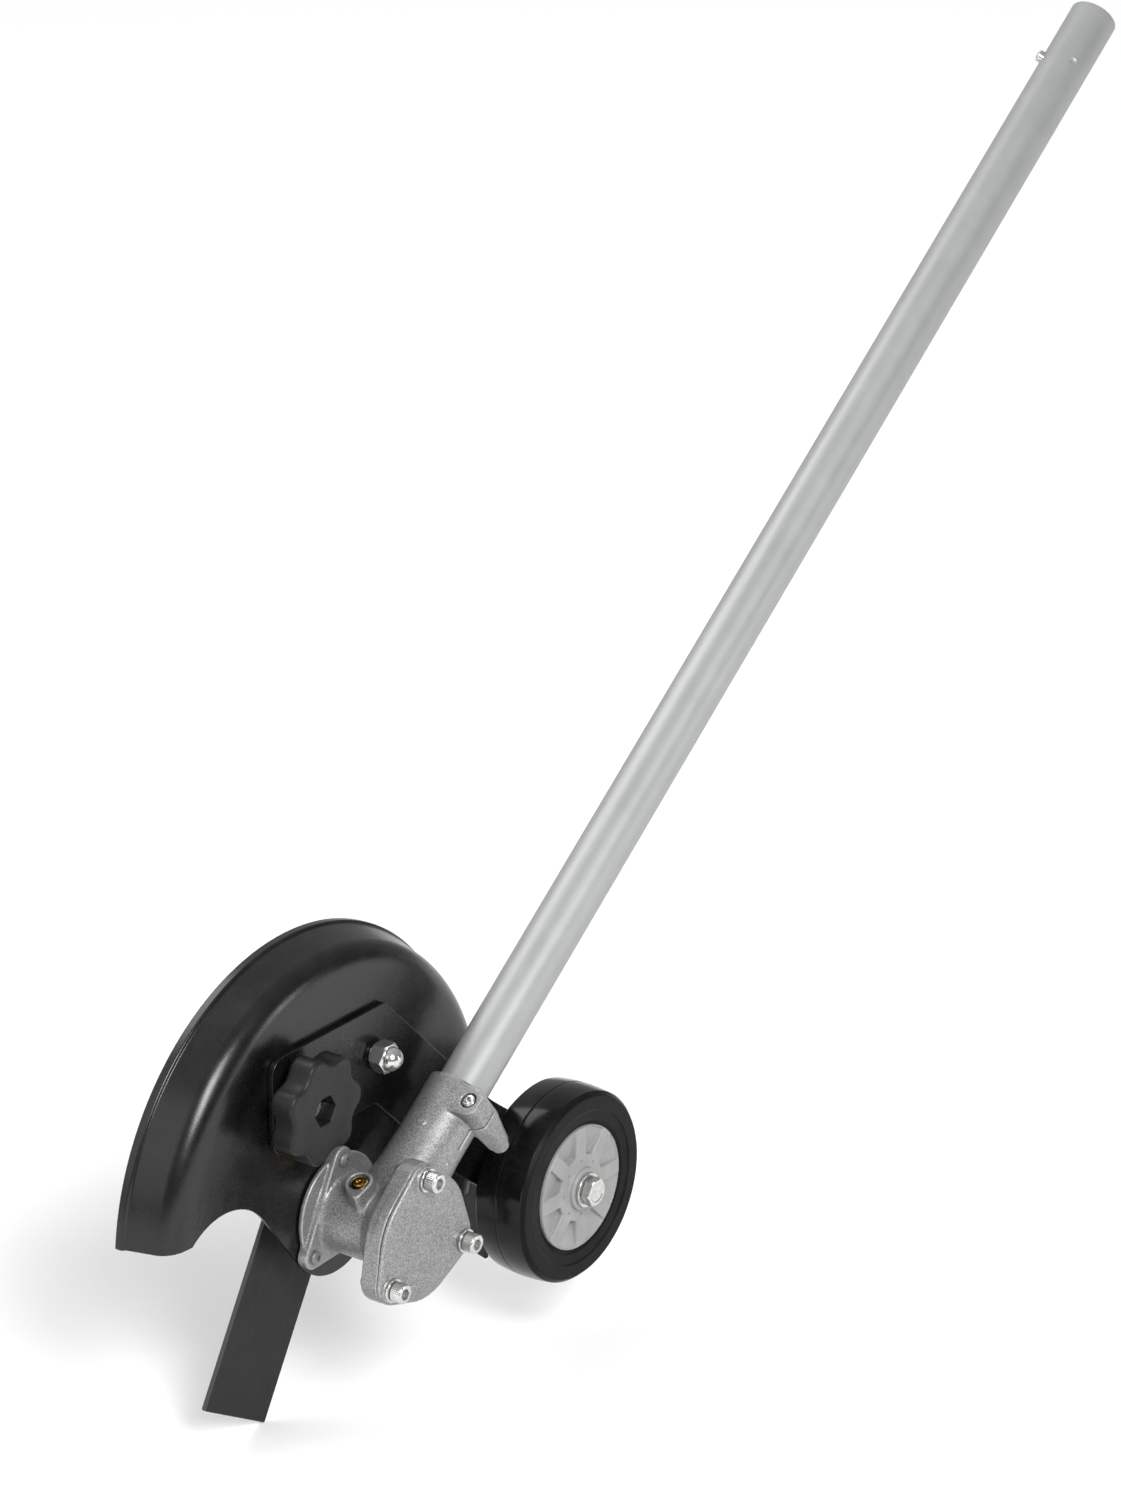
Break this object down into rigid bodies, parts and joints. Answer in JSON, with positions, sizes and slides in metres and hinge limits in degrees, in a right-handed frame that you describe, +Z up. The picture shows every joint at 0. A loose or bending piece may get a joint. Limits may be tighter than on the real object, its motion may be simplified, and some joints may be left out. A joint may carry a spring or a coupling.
{
  "type": "edger attachment",
  "caption": "Lawn edger attachment for a split-shaft trimmer: drive tube, bevel gear case, straight blade under a half guard, and a depth wheel on a knob-locked bracket.",
  "frame": {"origin": "centre of the drive tube's open upper end", "axes": "+X along the blade spindle, from the blade to the gear cover; +Y along the ground from the cutting head towards the user; +Z up; the tube rises 36.76 degrees towards +Y"},
  "size_m": [0.1013, 0.7646, 0.5889],
  "materials": {
    "tube_aluminium": "satin drawn tube",
    "cast_aluminium": "bead-blasted casting",
    "black_paint": "satin-gloss black paint",
    "blade_steel": "satin black oxide steel",
    "zinc": "bright zinc plate",
    "bright_steel": "ground steel",
    "brass": "turned brass",
    "black_plastic": "textured moulding",
    "grey_plastic": "light grey moulding",
    "tyre": "semi-gloss moulded rubber",
    "rubber": "matt sheet rubber"
  },
  "bodies": {
    "frame": {"outer_tube": "tube_aluminium", "shaft_bush_1": "black_plastic", "shaft_bush_2": "black_plastic", "shaft_bush_3": "black_plastic", "gear_case": "cast_aluminium", "gear_cover": "cast_aluminium", "cover_screw_1": "zinc", "cover_screw_2": "zinc", "cover_screw_3": "zinc", "cover_washer_1": "zinc", "cover_washer_2": "zinc", "cover_washer_3": "zinc", "clamp_screw": "zinc", "grease_plug": "brass", "pinion_bearing_1": "bright_steel", "pinion_bearing_2": "bright_steel", "spindle_bearing_inner": "bright_steel", "spindle_bearing_outer": "bright_steel", "spindle_seal": "rubber", "blade_guard": "black_paint", "guard_screw_1": "zinc", "guard_screw_2": "zinc", "guard_screw_3": "zinc", "guard_nut_1": "zinc", "guard_nut_2": "zinc", "guard_nut_3": "zinc", "pivot_bolt": "zinc", "pivot_washer": "zinc", "dome_nut": "zinc", "knob_stud": "zinc", "knob_washer": "zinc", "debris_flap": "rubber", "flap_rivet_1": "zinc", "flap_rivet_2": "zinc"},
    "cutter": {"spindle": "bright_steel", "output_gear": "bright_steel", "blade": "blade_steel", "blade_adapter": "zinc", "blade_washer": "zinc", "blade_nut": "zinc"},
    "drive": {"drive_shaft": "bright_steel", "pinion_gear": "bright_steel"},
    "bracket": {"wheel_bracket": "black_paint", "axle_bolt": "zinc", "axle_washer": "zinc", "axle_sleeve": "zinc", "axle_spacer": "zinc", "axle_nut": "zinc"},
    "wheel": {"tyre": "tyre", "wheel_hub": "grey_plastic"},
    "knob": {"knob": "black_plastic", "knob_nut": "zinc"},
    "button": {"lock_button": "zinc", "button_spring": "bright_steel"}
  },
  "joints": [
    {"name": "spindle_spin", "type": "hinge", "parent": "frame", "child": "cutter", "pos_m": [0, -0.6289, -0.4698], "axis": [1, 0, 0], "continuous": true},
    {"name": "drive_spin", "type": "hinge", "parent": "frame", "child": "drive", "pos_m": [0, -0.6289, -0.4698], "axis": [0, 0.8011, 0.5985], "continuous": true},
    {"name": "bracket_pivot", "type": "hinge", "parent": "frame", "child": "bracket", "pos_m": [0, -0.6004, -0.3978], "axis": [1, 0, 0], "range_deg": [-14, 10]},
    {"name": "wheel_spin", "type": "hinge", "parent": "bracket", "child": "wheel", "pos_m": [0, -0.50021, -0.49474], "axis": [1, 0, 0], "continuous": true},
    {"name": "knob_turn", "type": "hinge", "parent": "frame", "child": "knob", "pos_m": [0, -0.6644, -0.3978], "axis": [1, 0, 0], "range_deg": [0, 300]},
    {"name": "button_press", "type": "slide", "parent": "frame", "child": "button", "axis": [0.809, 0.3518, -0.4709], "range_m": [0, 0.003], "stiffness_N_per_m": 1200, "springref_m": -0.002}
  ],
  "couplings": [
    {"joint": "drive_spin", "follows": "spindle_spin", "ratio": -1.5}
  ]
}
